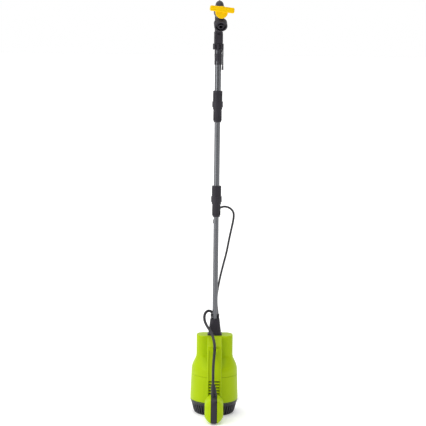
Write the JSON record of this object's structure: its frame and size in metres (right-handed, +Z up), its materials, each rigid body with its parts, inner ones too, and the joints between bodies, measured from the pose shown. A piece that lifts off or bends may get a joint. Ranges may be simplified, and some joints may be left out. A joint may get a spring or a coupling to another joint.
{
  "type": "submersible rain barrel pump",
  "caption": "Submersible rain barrel pump: ribbed strainer foot, moulded housing with float switch, telescopic riser tube, gooseneck with shut-off valve, mains cord.",
  "frame": {"origin": "middle of the strainer's resting face, on the axis of the pump and its riser tube", "axes": "+Z up along the riser, -Y towards the float switch and the hose outlet, +X to the right seen from the float's side"},
  "size_m": [0.16, 0.438, 1.3762],
  "materials": {
    "green_housing": "satin moulded ABS",
    "black_plastic": "moulded polypropylene, fine grain",
    "yellow_plastic": "satin moulded ABS",
    "tube_aluminium": "drawn and anodised",
    "cable_rubber": "matt rubber sheath",
    "seal_rubber": "moulded",
    "inner_plastic": "moulded",
    "motor_steel": "laminated",
    "winding_copper": "enamelled wire",
    "bright_steel": "ground",
    "pin_brass": "nickel plated"
  },
  "bodies": {
    "pump": {"strainer_base": "black_plastic", "lower_housing": "green_housing", "upper_housing": "green_housing", "channel_cover": "green_housing", "suction_plate": "inner_plastic", "volute_casing": "inner_plastic", "shaft_seal": "seal_rubber", "motor_can": "inner_plastic", "lower_bearing": "bright_steel", "upper_bearing": "bright_steel", "stator": "motor_steel", "stator_windings": "winding_copper", "capacitor": "inner_plastic", "riser_pipe": "inner_plastic", "outlet_socket": "black_plastic", "cable_entry": "black_plastic", "lead_strain_relief": "cable_rubber", "cord_strain_relief": "cable_rubber", "lower_tube": "tube_aluminium", "float_lead": "cable_rubber", "power_cord": "cable_rubber", "power_cord_tail": "cable_rubber", "power_cord_coil": "cable_rubber", "power_plug": "black_plastic", "plug_pins": "pin_brass", "base_screws": "bright_steel"},
    "rotor_group": {"motor_shaft": "bright_steel", "rotor": "motor_steel", "impeller": "inner_plastic"},
    "check_valve": {"check_valve_flap": "seal_rubber"},
    "middle_section": {"middle_tube": "tube_aluminium", "lower_joint_socket": "black_plastic", "lower_joint_seal": "seal_rubber", "cord_clip": "black_plastic"},
    "lower_nut": {"lower_joint_nut": "black_plastic"},
    "upper_section": {"upper_tube": "tube_aluminium", "upper_joint_socket": "black_plastic", "upper_joint_seal": "seal_rubber", "grip_sleeve": "black_plastic", "swivel_collar": "black_plastic", "lever_pin": "bright_steel"},
    "upper_nut": {"upper_joint_nut": "black_plastic"},
    "head": {"head_socket": "black_plastic", "gooseneck": "black_plastic", "valve_body": "black_plastic", "outlet_nipple": "black_plastic"},
    "lever": {"clamp_lever": "black_plastic"},
    "valve": {"valve_plug": "inner_plastic", "valve_spindle": "inner_plastic", "valve_handle": "yellow_plastic"},
    "union_nut": {"outlet_nut": "black_plastic"},
    "float": {"float_band": "black_plastic", "float_shell_left": "green_housing", "float_shell_right": "green_housing", "float_strain_relief": "cable_rubber", "float_switch": "inner_plastic", "float_lead_drop": "cable_rubber"},
    "ball": {"switch_ball": "bright_steel"}
  },
  "joints": [
    {"name": "rotor_spin", "type": "hinge", "parent": "pump", "child": "rotor_group", "pos_m": [0, 0, 0.1], "axis": [0, 0, 1], "continuous": true},
    {"name": "check_valve_lift", "type": "hinge", "parent": "pump", "child": "check_valve", "pos_m": [0, 0.007, 0.271], "axis": [-1, 0, 0], "range_deg": [0, 55]},
    {"name": "middle_slide", "type": "slide", "parent": "pump", "child": "middle_section", "axis": [0, 0, -1], "range_m": [0, 0.27]},
    {"name": "lower_nut_turn", "type": "hinge", "parent": "middle_section", "child": "lower_nut", "pos_m": [0, 0, 0.685], "axis": [0, 0, 1], "range_deg": [0, 120]},
    {"name": "upper_slide", "type": "slide", "parent": "middle_section", "child": "upper_section", "axis": [0, 0, -1], "range_m": [0, 0.14]},
    {"name": "upper_nut_turn", "type": "hinge", "parent": "upper_section", "child": "upper_nut", "pos_m": [0, 0, 1], "axis": [0, 0, 1], "range_deg": [0, 120]},
    {"name": "head_swivel", "type": "hinge", "parent": "upper_section", "child": "head", "pos_m": [0, 0, 1.25], "axis": [0, 0, 1], "range_deg": [-90, 90]},
    {"name": "lever_swing", "type": "hinge", "parent": "upper_section", "child": "lever", "pos_m": [0.0145, 0, 1.2118], "axis": [0, -1, 0], "range_deg": [0, 80]},
    {"name": "valve_turn", "type": "hinge", "parent": "head", "child": "valve", "pos_m": [0.00768, -0.06958, 1.3375], "axis": [-0.1097, 0.994, 0], "range_deg": [0, 90]},
    {"name": "union_nut_turn", "type": "hinge", "parent": "head", "child": "union_nut", "pos_m": [0.00665, -0.06021, 1.29711], "axis": [0.0841, -0.7614, -0.6428], "continuous": true},
    {"name": "float_swing", "type": "hinge", "parent": "pump", "child": "float", "pos_m": [0, -0.091, 0.231], "axis": [-1, 0, 0], "range_deg": [0, 90]},
    {"name": "ball_roll", "type": "slide", "parent": "float", "child": "ball", "axis": [0, 0, 1], "range_m": [0, 0.02]}
  ]
}
